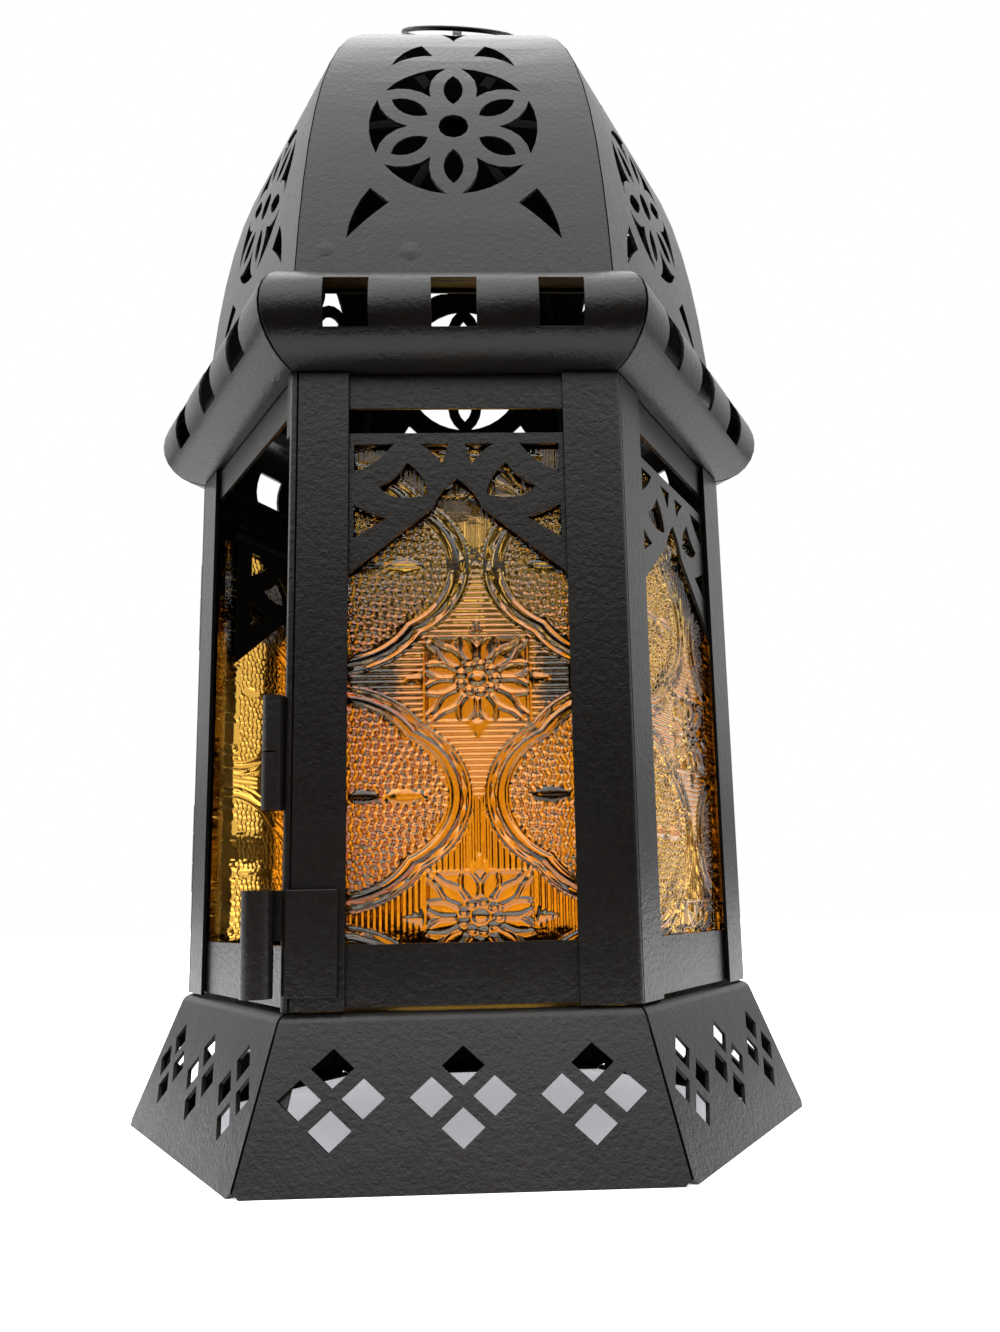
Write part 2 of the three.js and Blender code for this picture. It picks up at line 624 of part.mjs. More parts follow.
const finialInner = [
  [NECK_RADIUS + 1.2, FINIAL_BASE],
  [NECK_RADIUS - SHEET, FINIAL_BASE + 3.6],
  [NECK_RADIUS - SHEET, FINIAL_TOP - 10.7],
  [NECK_RADIUS + 0.2, FINIAL_TOP - 7.8],
  [CAP_RADIUS - SHEET, FINIAL_TOP - 5],
  [CAP_RADIUS * 0.7, FINIAL_TOP - 2.9],
  [CAP_RADIUS * 0.36, FINIAL_TOP - 1.4],
  [0, FINIAL_TOP - SHEET],
];

function spun(points, segments) {
  const profile = points.map(([r, z]) => new THREE.Vector2(r, z)).reverse();
  const geometry = new THREE.LatheGeometry(profile, segments);
  geometry.rotateX(Math.PI / 2);
  return solid(geometry);
}

place('finial', spun([...finialOuter, ...finialInner], 24), steel);

// Eye: a small strap loop on the cap, and the wire ring that hangs in it, tipped to the front
const EYE_FOOT = FINIAL_TOP + GAP;
const EYE_HEIGHT = EYE_FOOT + EYE_BORE + EYE_WALL;
const eyeHolder = new THREE.Group();
eyeHolder.rotation.z = THREE.MathUtils.degToRad(-RING_TURN);
group.add(eyeHolder);
const eyeOuter = EYE_BORE + EYE_WALL;
const eyeShape = outline([
  [eyeOuter, EYE_FOOT], ...arc(0, EYE_HEIGHT, eyeOuter, 0, 180, 8), [-eyeOuter, EYE_FOOT]]);
eyeShape.holes.push(new THREE.Path().absarc(0, EYE_HEIGHT, EYE_BORE, 0, 2 * Math.PI));
const eyeBody = facing(eyeShape, EYE_WIDTH / 2, -EYE_WIDTH / 2, 6).rotate([0, 0, 90]);
place('ring_eye', eyeBody, steel, 0, eyeHolder);

const ringGeometry = new THREE.TorusGeometry(RING_RADIUS, RING_WIRE, 8, 36);
ringGeometry.translate(0, -RING_RADIUS, 0);
ringGeometry.rotateX(THREE.MathUtils.degToRad(RING_DROOP));
ringGeometry.translate(0, 0, EYE_HEIGHT);
place('carry_ring', solid(ringGeometry), wire, 0, eyeHolder);

// Door pieces are drawn closed on the front, and a holder folds them back about the hinge
const HINGE_X = -CORNER_X - HINGE_BACK * 0.5 - HINGE_OUT * COS30;
const HINGE_Y = -BODY_APOTHEM + HINGE_BACK * COS30 - HINGE_OUT * 0.5;
const DOOR_OUTER = BODY_APOTHEM + GAP + SHEET;
const DOOR_INNER = BODY_APOTHEM + GAP;
const DOOR_BOTTOM = BOTTOM_RAIL_TOP - DOOR_BOTTOM_LAP;
const DOOR_TOP = TOP_RAIL_BASE + DOOR_TOP_LAP;
const DOOR_WINDOW_X = CORNER_X - DOOR_STILE + 0.4;

const faceHolder = new THREE.Group();
faceHolder.rotation.z = THREE.MathUtils.degToRad(DOOR_FACE * STEP);
group.add(faceHolder);
const hingeHolder = new THREE.Group();
hingeHolder.position.set(HINGE_X, HINGE_Y, 0);
hingeHolder.rotation.z = -THREE.MathUtils.degToRad(DOOR_FOLD);
faceHolder.add(hingeHolder);
const doorHolder = new THREE.Group();
doorHolder.position.set(-HINGE_X, -HINGE_Y, 0);
hingeHolder.add(doorHolder);

function tube(cx, cy, outer, inner, bottom, top) {
  const shape = new THREE.Shape();
  shape.absarc(cx, cy, outer, 0, 2 * Math.PI);
  shape.holes.push(new THREE.Path().absarc(cx, cy, inner, 0, 2 * Math.PI));
  return standing(shape, bottom, top);
}

// Where the closed door's sheet turns round the corner towards the hinge
const DOOR_MID = GAP + SHEET / 2;
const TURN_X = -CORNER_X - DOOR_MID * Math.tan(HALF_STEP);
const TURN_Y = -BODY_APOTHEM - DOOR_MID;

function doorStrap(bottom, top) {
  const toHinge = new THREE.Vector2(HINGE_X - TURN_X, HINGE_Y - TURN_Y);
  const length = toHinge.length() - KNUCKLE_RADIUS + SHEET * 0.4;
  const dir = toHinge.normalize();
  const side = new THREE.Vector2(-dir.y, dir.x).multiplyScalar(SHEET / 2);
  const at = (run, s) => [TURN_X + dir.x * run + side.x * s, TURN_Y + dir.y * run + side.y * s];
  const start = -SHEET / 2;
  return standing(outline([at(start, -1), at(length, -1), at(length, 1), at(start, 1)]), bottom, top);
}

function doorFrame() {
  const left = -(CORNER_X - LEAF + DOOR_LEAF_LAP);
  const right = CORNER_X - DOOR_FREE_GAP;
  const keeperNotch = CORNER_X - KEEPER_OUT - KEEPER_RADIUS - GAP;
  const catchNotch = CORNER_X - CATCH_OUT - CATCH_RADIUS / 2 - GAP;
  const shape = outline([
    [left, DOOR_BOTTOM],
    [catchNotch, DOOR_BOTTOM],
    [catchNotch, CATCH_BOTTOM + CATCH_LENGTH + 1],
    [right, CATCH_BOTTOM + CATCH_LENGTH + 2.5],
    [right, KEEPER_BOTTOM - 1],
    [keeperNotch, KEEPER_BOTTOM - 1],
    [keeperNotch, KEEPER_BOTTOM + KEEPER_LENGTH + 1],
    [right, KEEPER_BOTTOM + KEEPER_LENGTH + 1],
    [right, DOOR_TOP],
    [left, DOOR_TOP],
  ]);
  const bottom = DOOR_BOTTOM + DOOR_RAIL;
  const top = DOOR_TOP - DOOR_RAIL;
  shape.holes.push(new THREE.Path([
    new THREE.Vector2(-DOOR_WINDOW_X, bottom), new THREE.Vector2(-DOOR_WINDOW_X, top),
    new THREE.Vector2(DOOR_WINDOW_X, top), new THREE.Vector2(DOOR_WINDOW_X, bottom)]));
  const corner = TURN_X - SHEET * 0.2;
  const pieces = [facing(shape, DOOR_OUTER, DOOR_INNER),
    box(corner, left + SHEET, -DOOR_OUTER, -DOOR_INNER, DOOR_TOP - DOOR_RAIL, DOOR_TOP)];
  for (const height of HINGE_HEIGHTS) {
    const low = height - KNUCKLE_LENGTH / 2;
    const high = height + KNUCKLE_LENGTH / 2;
    pieces.push(box(corner, left + SHEET, -DOOR_OUTER, -DOOR_INNER, low, high));
    pieces.push(doorStrap(low, high));
    pieces.push(tube(HINGE_X, HINGE_Y, KNUCKLE_RADIUS, PIN_RADIUS + PIN_CLEAR, low, high));
  }
  for (const side of [-1, 1]) {
    for (const z of [DOOR_GLASS_BOTTOM + 12, DOOR_GLASS_TOP - 12]) pieces.push(glassTab(side, z));
  }
  return joined(pieces);
}

// Door glass and pierced panel lie behind the frame, between the fixed rails when it is shut
const DOOR_GLASS_BOTTOM = BOTTOM_RAIL_TOP + 2.5;
const DOOR_GLASS_TOP = TOP_RAIL_BASE - 3;
const DOOR_FRET_FACE = BODY_APOTHEM;
const DOOR_GLASS_FACE = DOOR_FRET_FACE - SHEET - GAP;

// Bent tab that grips the edge of the door glass
function glassTab(side, z) {
  const near = side * (DOOR_GLASS_HALF_WIDTH + GAP);
  const far = side * (DOOR_GLASS_HALF_WIDTH + GAP + SHEET);
  const over = side * (DOOR_GLASS_HALF_WIDTH - 2);
  const back = DOOR_GLASS_FACE - GLASS - GAP;
  const w = HOOK_WIDTH / 2;
  const span = (a, b) => [Math.min(a, b), Math.max(a, b)];
  return box(...span(near, far), -DOOR_INNER - SHEET / 2, -back + SHEET, z - w, z + w)
    .add(box(...span(over, far), -back, -back + SHEET, z - w, z + w));
}

place('door_frame', doorFrame(), steel, 0, doorHolder);
const doorHoles = fretHoles(DOOR_GLASS_TOP).filter((hole, i) => i % 4 === 1 || i % 4 === 2);
const doorFret = fretPlate(DOOR_GLASS_TOP, DOOR_GLASS_HALF_WIDTH, DOOR_FRET_FACE, doorHoles);
place('door_fretwork', doorFret, steel, 0, doorHolder);
place('door_glass', box(-DOOR_GLASS_HALF_WIDTH, DOOR_GLASS_HALF_WIDTH,
  -DOOR_GLASS_FACE, -DOOR_GLASS_FACE + GLASS, DOOR_GLASS_BOTTOM, DOOR_GLASS_TOP), amber, 0, doorHolder);

// Hinge brackets on the left post: two knuckles and a leaf along the back of the corner
function hingeBracket(height) {
  const inner = KNUCKLE_LENGTH / 2 + GAP;
  const outer = inner + KNUCKLE_LENGTH;
  const back = new THREE.Vector2(-0.5, COS30);
  const out = new THREE.Vector2(-COS30, -0.5);
  const at = (u, v) => [-CORNER_X + back.x * u + out.x * v, -BODY_APOTHEM + back.y * u + out.y * v];
  const leafEnd = HINGE_LEAF_START + HINGE_LEAF;
  const leaf = GAP + SHEET;
  const plate = outline([
    at(HINGE_LEAF_START, GAP), at(leafEnd, GAP), at(leafEnd, leaf), at(HINGE_LEAF_START, leaf)]);
  const near = HINGE_BACK - KNUCKLE_RADIUS + 0.1;
  const web = outline([
    at(near, GAP), at(near + SHEET, GAP), at(near + SHEET, HINGE_OUT), at(near, HINGE_OUT)]);
  const hole = new THREE.Shape().absarc(HINGE_X, HINGE_Y, PIN_RADIUS + PIN_CLEAR, 0, 2 * Math.PI);
  const bore = standing(hole, height - outer - 1, height + outer + 1);
  const pieces = [standing(plate, height - outer, height + outer)];
  for (const [low, high] of [[height - outer, height - inner], [height + inner, height + outer]]) {
    pieces.push(standing(web, low, high));
    pieces.push(tube(HINGE_X, HINGE_Y, KNUCKLE_RADIUS, PIN_RADIUS, low, high));
  }
  return joined(pieces).subtract(bore);
}

place('hinge_bracket_lower', hingeBracket(HINGE_HEIGHTS[0]), steel, 0, faceHolder);
place('hinge_bracket_upper', hingeBracket(HINGE_HEIGHTS[1]), steel, 0, faceHolder);

const pinEnd = 1.5 * KNUCKLE_LENGTH + GAP + 0.6;
const hingePin = joined([
  standing(new THREE.Shape().absarc(HINGE_X, HINGE_Y, PIN_RADIUS, 0, 2 * Math.PI),
    HINGE_HEIGHTS[0] - pinEnd, HINGE_HEIGHTS[1] + pinEnd),
  standing(new THREE.Shape().absarc(HINGE_X, HINGE_Y, KNUCKLE_RADIUS, 0, 2 * Math.PI),
    HINGE_HEIGHTS[1] + pinEnd - GAP, HINGE_HEIGHTS[1] + pinEnd + SHEET),
]);
place('hinge_pin', hingePin, wire, 0, faceHolder);

// Rolled pieces at the doorway's free corner: a strip behind the front leaf, rolled up beside it
function curl(radius, wall, out, back, bottom, top, stripBottom, stripLength) {
  const cx = -CORNER_X - out;
  const cy = -BODY_APOTHEM + back;
  const ring = tube(cx, cy, radius, radius - wall, bottom, top);
  const strip = box(-CORNER_X - out + radius * 0.5, -CORNER_X + stripLength,
    -RAIL_FACE, -RAIL_FACE + wall, stripBottom, top);
  const hollow = new THREE.Shape().absarc(cx, cy, radius - wall, 0, 2 * Math.PI);
  const bore = standing(hollow, bottom - 1, top + 1);
  return ring.add(strip).subtract(bore);
}

const KEEPER_TOP = KEEPER_BOTTOM + KEEPER_LENGTH;
const keeperMiddle = KEEPER_BOTTOM + KEEPER_LENGTH / 2;
const keeperSplit = box(-CORNER_X - 6, -CORNER_X - KEEPER_OUT + KEEPER_RADIUS - 1,
  -BODY_APOTHEM - 3, -BODY_APOTHEM + 3, keeperMiddle - 0.15, keeperMiddle + 0.15);
const keeperRoll = curl(
  KEEPER_RADIUS, KEEPER_WALL, KEEPER_OUT, 0.3, KEEPER_BOTTOM, KEEPER_TOP, KEEPER_BOTTOM, 8.5);
place('keeper_roll', keeperRoll.subtract(keeperSplit), steel);

const CATCH_TOP = CATCH_BOTTOM + CATCH_LENGTH;
const catchRoll = curl(
  CATCH_RADIUS, SHEET, CATCH_OUT, -0.2, CATCH_BOTTOM, CATCH_TOP, BOTTOM_RAIL_TOP + 1, 6);
place('catch_roll', catchRoll, steel);
const plateFace = BODY_APOTHEM + GAP;
place('catch_plate', box(-CORNER_X + 0.6, -CORNER_X + 0.6 + CATCH_PLATE, -plateFace - SHEET, -plateFace,
  CATCH_BOTTOM, CATCH_TOP), steel);

export default group;
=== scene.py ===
import math

import bpy
import numpy as np
from mathutils import Matrix, Vector


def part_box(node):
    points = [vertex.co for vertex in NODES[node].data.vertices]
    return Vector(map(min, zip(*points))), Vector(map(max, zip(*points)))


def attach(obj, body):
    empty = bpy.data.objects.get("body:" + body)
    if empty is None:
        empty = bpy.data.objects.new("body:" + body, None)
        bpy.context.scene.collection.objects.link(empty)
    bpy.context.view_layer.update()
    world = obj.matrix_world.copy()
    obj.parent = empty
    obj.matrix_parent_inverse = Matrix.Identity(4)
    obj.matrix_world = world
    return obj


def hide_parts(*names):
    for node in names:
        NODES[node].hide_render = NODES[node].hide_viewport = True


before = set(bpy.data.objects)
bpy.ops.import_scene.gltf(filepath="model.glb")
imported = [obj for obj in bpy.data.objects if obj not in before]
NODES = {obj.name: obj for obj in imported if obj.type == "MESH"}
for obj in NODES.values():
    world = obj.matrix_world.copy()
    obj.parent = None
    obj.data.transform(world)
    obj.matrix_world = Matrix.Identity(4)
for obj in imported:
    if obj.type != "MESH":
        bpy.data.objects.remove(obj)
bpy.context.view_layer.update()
MM = 0.001
SIDES = 6


def add_object(name, data):
    """A new object in the scene, from a mesh, a light or a camera."""
    obj = bpy.data.objects.new(name, data)
    bpy.context.scene.collection.objects.link(obj)
    return obj


def turned(steps):
    """A turn about the lantern's axis by whole faces."""
    return Matrix.Rotation(math.radians(60 * steps), 4, "Z")


# Node helpers

class Graph:
    """A node tree, with short calls for the nodes used here."""

    def __init__(self, tree, coords):
        self.tree = tree
        self.tree.nodes.clear()
        self.coords = self.add("ShaderNodeTexCoord").outputs[coords]

    def add(self, kind, **values):
        node = self.tree.nodes.new(kind)
        for key, value in values.items():
            setattr(node, key, value)
        return node

    def link(self, a, b):
        self.tree.links.new(a, b)

    def put(self, socket, value):
        """Links a socket to another one, or gives it a value."""
        if hasattr(value, "is_output"):
            self.link(value, socket)
        else:
            socket.default_value = value

    def axes(self):
        """The coordinates as x, y and z."""
        node = self.add("ShaderNodeSeparateXYZ")
        self.link(self.coords, node.inputs[0])
        return node.outputs

    def math(self, op, a, b):
        node = self.add("ShaderNodeMath", operation=op)
        self.put(node.inputs[0], a)
        self.put(node.inputs[1], b)
        return node.outputs[0]

    def vector(self, op, a, b=None):
        node = self.add("ShaderNodeVectorMath", operation=op)
        self.put(node.inputs[0], a)
        if b is not None:
            self.put(node.inputs[1], b)
        return node.outputs

    def ramp(self, value, low, high, a=0.0, b=1.0, kind="LINEAR"):
        """From a at low to b at high, and level beyond them."""
        node = self.add("ShaderNodeMapRange", clamp=True, interpolation_type=kind)
        self.put(node.inputs["Value"], value)
        node.inputs["From Min"].default_value = low
        node.inputs["From Max"].default_value = high
        node.inputs["To Min"].default_value = a
        node.inputs["To Max"].default_value = b
        return node.outputs[0]

    def blend(self, factor, a, b):
        """A number between a and b."""
        node = self.add("ShaderNodeMix", data_type="FLOAT")
        self.put(node.inputs[0], factor)
        self.put(node.inputs[2], a)
        self.put(node.inputs[3], b)
        return node.outputs[0]


# Painted shade, not soot: the sides that face the candle are painted near black. These are the
# sides that face the axis and, up in the dome, its middle.
# The heights and the rise are in metres; the facing runs from -1, straight inward, to 1.
PAINTED_SHADE = (0.0016, 0.0013, 0.0011)
SHADE_LOW, SHADE_HIGH, SHADE_RISE = 0.17, 0.26, 0.055
SHADE_FULL, SHADE_NONE = -0.35, -0.12
SHADE_ROUGHNESS = 0.5


class Paint(Graph):
    """A material: one shader on the object's own coordinates."""

    def __init__(self, name):
        self.mat = bpy.data.materials.new(name)
        self.mat.use_nodes = True
        super().__init__(self.mat.node_tree, "Object")
        self.shader = self.add("ShaderNodeBsdfPrincipled")
        self.link(self.shader.outputs[0], self.add("ShaderNodeOutputMaterial").inputs[0])

    def set(self, name, value):
        self.put(self.shader.inputs[name], value)

    def noise(self, scale, detail, rough=0.5):
        node = self.add("ShaderNodeTexNoise")
        self.link(self.coords, node.inputs["Vector"])
        node.inputs["Scale"].default_value = scale
        node.inputs["Detail"].default_value = detail
        node.inputs["Roughness"].default_value = rough
        return node.outputs[0]

    def mix(self, factor, a, b):
        """A colour between a and b."""
        node = self.add("ShaderNodeMix", data_type="RGBA")
        self.put(node.inputs[0], factor)
        for socket, value in ((node.inputs[6], a), (node.inputs[7], b)):
            self.put(socket, value if hasattr(value, "is_output") else (*value, 1.0))
        return node.outputs[2]

    def bump(self, height, distance, strength, normal=None):
        node = self.add("ShaderNodeBump")
        self.put(node.inputs["Height"], height)
        node.inputs["Distance"].default_value = distance
        node.inputs["Strength"].default_value = strength
        if normal is not None:
            self.link(normal, node.inputs["Normal"])
        return node.outputs[0]

    def near(self, point, radius):
        """1 at a point, falling to 0 at the radius."""
        distance = self.vector("DISTANCE", self.coords, point)["Value"]
        return self.ramp(distance, 0.0, radius, 1.0, 0.0)

    def inward(self):
        """1 on sides that face the candle, and 0 on the others."""
        rise = self.add("ShaderNodeCombineXYZ")
        climb = self.ramp(self.axes()[2], SHADE_LOW, SHADE_HIGH, 0.0, SHADE_RISE)
        self.link(climb, rise.inputs[2])
        flat = self.vector("MULTIPLY", self.coords, (1, 1, 0))[0]
        outward = self.vector("ADD", flat, rise.outputs[0])[0]
        unit = self.vector("NORMALIZE", outward)[0]
        normal = self.add("ShaderNodeTexCoord").outputs["Normal"]
        facing = self.vector("DOT_PRODUCT", unit, normal)["Value"]
        return self.ramp(facing, SHADE_FULL, SHADE_NONE, 1.0, 0.0)


# Scales of the coat's detail, in features to the metre, and how deep each stands, in metres
CLOUD_SCALE, WAVE_SCALE, PEBBLE_SCALE, SPECK_SCALE = 28.0, 55.0, 900.0, 2300.0
WAVE_DEPTH, DENT_DEPTH, PEBBLE_DEPTH = 0.00035, 0.001, 0.00018
DUST_SHARE, DUST_GAIN = 0.35, 2.6
SHINE, SHADE_SHINE = 0.3, 0.08


def coat(name, dark, light, roughness, dents=(), painted_shade_inside=False):
    """Powder coat: a fine pebble, slow waves of the folded sheet, worn patches and thin dust; on
    the body, painted shade makes the sides that face into the lantern near black, rougher and
    duller.
    """
    g = Paint(name)
    fine = g.noise(PEBBLE_SCALE, 2.0, 0.55)
    speck = g.noise(SPECK_SCALE, 1.0, 0.5)
    base = g.mix(g.ramp(g.noise(CLOUD_SCALE, 4.0, 0.6), 0.35, 0.7), dark, light)
    dust = g.math("MULTIPLY", g.ramp(speck, 0.66, 0.74), DUST_SHARE)
    base = g.mix(dust, base, tuple(c * DUST_GAIN for c in light))
    rough = g.math("ADD", roughness - 0.06, g.math("MULTIPLY", fine, 0.14))
    shine = SHINE
    # Painted shade on the sides that face into the lantern: near black, rougher and less shiny
    if painted_shade_inside:
        inside = g.inward()
        base = g.mix(inside, base, PAINTED_SHADE)
        rough = g.math("ADD", rough, g.math("MULTIPLY", inside, SHADE_ROUGHNESS))
        shine = g.ramp(inside, 0.0, 1.0, SHINE, SHADE_SHINE)
    g.set("Specular IOR Level", shine)
    g.set("Base Color", base)
    g.set("Roughness", rough)
    wave = g.bump(g.noise(WAVE_SCALE, 2.0), WAVE_DEPTH, 0.5)
    for point, radius, depth in dents:
        dent = g.math("MULTIPLY", g.near(point, radius), depth)
        wave = g.bump(dent, DENT_DEPTH, 1.0, wave)
    pebble = g.math("ADD", g.math("MULTIPLY", fine, 0.7), g.math("MULTIPLY", speck, 0.3))
    g.set("Normal", g.bump(pebble, PEBBLE_DEPTH, 0.65, wave))
    return g.mat


FLOW_SCALE, POLISH_SCALE, RIPPLE_SCALE, RIPPLE_DEPTH = 45.0, 160.0, 420.0, 0.00014


def amber_glass(name, clear, deep):
    """Pressed amber glass: a full tint, faint flow lines and uneven polish."""
    g = Paint(name)
    g.set("Base Color", g.mix(g.ramp(g.noise(FLOW_SCALE, 3.0), 0.3, 0.75), clear, deep))
    g.set("Transmission Weight", 1.0)
    g.set("IOR", 1.5)
    g.set("Roughness", g.ramp(g.noise(POLISH_SCALE, 2.0), 0.3, 0.7, 0.03, 0.10))
    g.set("Normal", g.bump(g.noise(RIPPLE_SCALE, 3.0, 0.55), RIPPLE_DEPTH, 0.6))
    return g.mat


def plain_floor():
    """A pale matt table that gives a little light of its own."""
    g = Paint("floor")
    g.set("Base Color", g.mix(g.noise(3.0, 2.0), (0.93, 0.93, 0.93), (0.95, 0.95, 0.95)))
    g.set("Roughness", 0.75)
    g.set("Emission Color", (0.93, 0.93, 1.0, 1.0))
    g.set("Emission Strength", 0.4)
    return g.mat


# Three small dents in the front gore: place and radius in metres, and depth
DENTS = (
    ((-0.0225, -0.0480, 0.2120), 0.0022, 0.25),
    ((-0.0262, -0.0550, 0.1800), 0.0020, 0.2),
    ((-0.0090, -0.0552, 0.1795), 0.0024, 0.22),
)
DARK, LIGHT = (0.0036, 0.0027, 0.0021), (0.0058, 0.0045, 0.0036)
# The body's coat carries painted shade on its inward sides; the door's coat has none
BLACK = coat("black_coat", DARK, LIGHT, 0.30, DENTS, True)
DOOR = coat("black_coat_door", DARK, LIGHT, 0.30)
INNER = coat("black_coat_inner", (0.0040, 0.0032, 0.0026), (0.0062, 0.0050, 0.0042), 0.45)
WIRE = coat("black_wire", (0.006, 0.005, 0.0042), (0.010, 0.0085, 0.0075), 0.28)
GLASS = amber_glass("amber_glass", (0.80, 0.47, 0.088), (0.76, 0.41, 0.066))
PALE = plain_floor()


# Metal nodes: softened edges, smooth rolls and the coat

WELD_REACH = 0.000004
EDGE_SOFTENING, EDGE_ANGLE = 0.00014, 38.0


def dress(node, material):
    """Gives a metal node its coat, and rounds its folded edges a little."""
    obj = NODES[node]
    obj.data.materials.clear()
    obj.data.materials.append(material)
    obj.data.polygons.foreach_set("use_smooth", [True] * len(obj.data.polygons))
    weld = obj.modifiers.new("joined_faces", "WELD")
    weld.merge_threshold = WELD_REACH
    bevel = obj.modifiers.new("soft_edges", "BEVEL")
    bevel.width = EDGE_SOFTENING
    bevel.segments = 2
    bevel.limit_method = "ANGLE"
    bevel.angle_limit = math.radians(EDGE_ANGLE)
    bevel.use_clamp_overlap = True
    bevel.harden_normals = False
    normals = obj.modifiers.new("face_normals", "WEIGHTED_NORMAL")
    normals.keep_sharp = True
    normals.weight = 60


for name in NODES:
    if name.startswith("glass_") or name == "door_glass":
        continue
    if name in ("carry_ring", "hinge_pin"):
        dress(name, WIRE)
    elif name == "candle_floor":
        dress(name, INNER)
    elif name.startswith("door_"):
        dress(name, DOOR)
    else:
        dress(name, BLACK)


# Pressed glass: one relief field in the plane of a pane, in millimetres. Flowers and medallions
# stand in turn; u runs across and v up from the middle of a flower, p and q from the middle of a
# medallion. Each height runs from 0 to 1.

PERIOD = 45.3
STRETCH = 1.2
HALF = PERIOD / 2
LOBE_CENTRE = 5.44
LOBE_RADIUS = 12.46
BORDER_FROM, BORDER_TO = -0.3, 3.9
BEAD_PITCH, BEAD_RADIUS, BEAD_STRAY = 1.52, 0.68, 0.16
LEAVES = ((1.2, 7.6, 1.5), (7.4, 14.6, 1.75))
MEDALLION_EYE = 1.7
ROPE_TURNS = 30.0
SQUARE = 8.7
FRAME, FRAME_INSIDE = 8.4, 8.2
THIN_LINE = 0.3
PETALS, PETAL_FOOT, PETAL_LENGTH = 12, 3.9, 4.6
BUTTON, BUTTON_EYE = 3.7, 1.35
DROPS, DROP_ORBIT, DROP_RADIUS = 9, 2.75, 0.85
STUD_PLACE, STUD_SIZE = 7.3, 0.9
POINT_LENGTH, POINT_HALF = 3.1, 2.2
RIB_PITCH = 1.1
TIP_LONG, TIP_SHORT = 1.5, 1.3
RELIEF = 0.7
GRID = 0.25
TINY = 1e-6


def ridge(d, width):
    """A round ridge of the given half width about d = 0."""
    return np.sqrt(np.clip(1 - (d / width) ** 2, 0, 1))


def beads(x, y, pitch, radius):
    """Rounded beads on a staggered, slightly uneven grid."""
    row = pitch * 0.866
    best = np.zeros_like(x)
    base = np.floor(y / row)
    for k in (-1, 0, 1, 2):
        j = base + k
        shift = np.where(np.mod(j, 2) == 0, 0.0, pitch / 2)
        i = np.round((x - shift) / pitch)
        cx = i * pitch + shift + BEAD_STRAY * pitch * np.sin(i * 12.9 + j * 78.2)
        cy = j * row + BEAD_STRAY * pitch * np.sin(i * 39.3 + j * 11.1)
        best = np.maximum(best, ridge(np.hypot(x - cx, y - cy), radius))
    return best


def leaf_shape(along, across, start, end, half):
    """A leaf from start to end with pointed tips, and its height."""
    t = np.clip((along - start) / (end - start), 0, 1)
    width = half * np.sin(np.pi * t) ** 0.8 + TINY
    inside = (along > start) & (along < end)
    return np.where(inside, np.clip(1 - np.abs(across) / width, 0, 1), 0.0)


def petals(r, angle, square):
    """Twelve hollow petals with a raised edge, cut off by the flower's frame."""
    step = 2 * np.pi / PETALS
    local = np.mod(angle, step) - step / 2
    along = r * np.cos(local)
    across = np.abs(r * np.sin(local))
    t = np.clip((along - PETAL_FOOT) / PETAL_LENGTH, 0, 1)
    width = 0.5 + 1.15 * np.sin(np.pi * (0.12 + 0.80 * t))
    edge = ridge(across - width * 0.86, THIN_LINE)
    dish = 0.22 + 0.35 * (across / (width + TINY)) ** 2
    hollow = np.where(across < width * 0.86, dish, 0.0)
    inside = (along > BUTTON) & (square < FRAME_INSIDE)
    return np.where(inside, np.maximum(edge, hollow), 0.0)


def flower(u, v):
    """A twelve-petalled flower in a square frame, with a point on each side."""
    r = np.hypot(u, v)
    square = np.maximum(np.abs(u), np.abs(v))
    height = 0.8 * ridge(square - FRAME, THIN_LINE)
    height = np.maximum(height, petals(r, np.arctan2(v, u), square))
    button = np.zeros_like(u)
    for k in range(DROPS):
        a = k * 2 * np.pi / DROPS
        drop = np.hypot(u - DROP_ORBIT * np.cos(a), v - DROP_ORBIT * np.sin(a))
        button = np.maximum(button, ridge(drop, DROP_RADIUS))
    button = np.maximum(button, ridge(r, BUTTON_EYE))
    height = np.where(r < BUTTON, button, height)
    stud = np.maximum(np.abs(np.abs(u) - STUD_PLACE), np.abs(np.abs(v) - STUD_PLACE))
    height = np.maximum(height, 0.9 * np.clip(1 - stud / STUD_SIZE, 0, 1))
    for a, b in ((u, v), (-u, v), (v, u), (-v, u)):
        run = np.clip((a - SQUARE) / POINT_LENGTH, 0, 1)
        inside = (a > SQUARE) & (a < SQUARE + POINT_LENGTH)
        facet = np.clip(1 - np.abs(b) / (POINT_HALF * (1 - run) + TINY), 0, 1)
        height = np.maximum(height, np.where(inside & (facet > 0), 0.35 + 0.65 * facet, 0))
    return height


def medallion(p, q, x, z):
    """Height inside a medallion, and the distance outside the curve that its border follows."""
    a = np.maximum(np.abs(p), np.abs(q))
    b = np.minimum(np.abs(p), np.abs(q))
    d = np.hypot(a - LOBE_CENTRE, b) - LOBE_RADIUS
    ground = 0.02 + 0.85 * beads(x, z, BEAD_PITCH, BEAD_RADIUS)
    height = np.where(d < BORDER_FROM, ground, 0.0)
    leaf = np.zeros_like(p)
    for start, end, half in LEAVES:
        body = leaf_shape(a, b, start, end, half)
        vein = np.clip(1 - b / 0.28, 0, 1)
        leaf = np.maximum(leaf, np.where(body > 0, 0.25 + 0.75 * body ** 0.6 - 0.4 * vein, 0))
    height = np.where(leaf > 0, leaf, height)
    r = np.hypot(p, q)
    height = np.where(r < MEDALLION_EYE, ridge(r, MEDALLION_EYE), height)
    twist = 0.5 + 0.5 * np.sin(np.arctan2(q, p) * ROPE_TURNS)
    rope = 0.55 * ridge(d - 2.62, 0.36) * twist
    border = np.maximum.reduce(
        [ridge(d - 1.3, 0.92), 0.9 * ridge(d - 3.35, 0.48), rope, 0.6 * ridge(d, 0.24)])
    height = np.where((d > BORDER_FROM) & (d < BORDER_TO), border, height)
    return height, d


